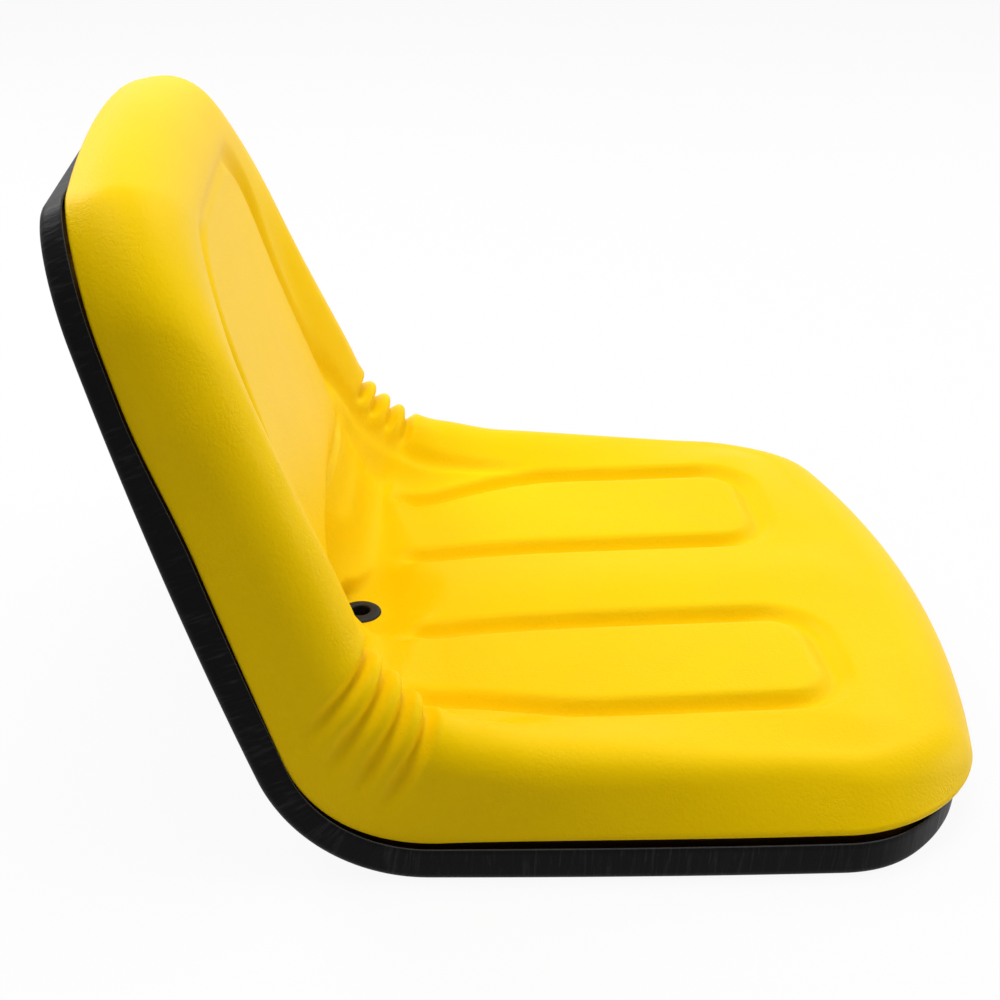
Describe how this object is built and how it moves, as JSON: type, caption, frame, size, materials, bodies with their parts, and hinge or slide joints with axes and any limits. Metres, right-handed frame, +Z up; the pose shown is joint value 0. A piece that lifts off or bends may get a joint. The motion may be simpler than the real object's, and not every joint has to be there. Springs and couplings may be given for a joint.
{
  "type": "utility vehicle seat",
  "caption": "One-piece vehicle seat: a yellow moulded cushion with a raised roll all round and bellows ribs at the bend, bonded into a black pressed steel pan with a drain eyelet.",
  "frame": {"origin": "on the flat underside of the steel pan, at the centre of the pattern of mounting holes", "axes": "+X towards the front edge of the seat, +Y to the left of someone who sits in it, +Z up"},
  "size_m": [0.5201, 0.4912, 0.3702],
  "materials": {
    "cushion_skin": "semi-matt yellow vinyl skin with a fine grain, over moulded foam",
    "pan_paint": "satin black paint on pressed sheet steel",
    "eyelet_rubber": "matt black rubber",
    "nut_steel": "zinc plated"
  },
  "bodies": {
    "root": {"seat_pan": "pan_paint", "cushion": "cushion_skin", "drain_grommet": "eyelet_rubber", "weld_nuts": "nut_steel"}
  },
  "joints": []
}
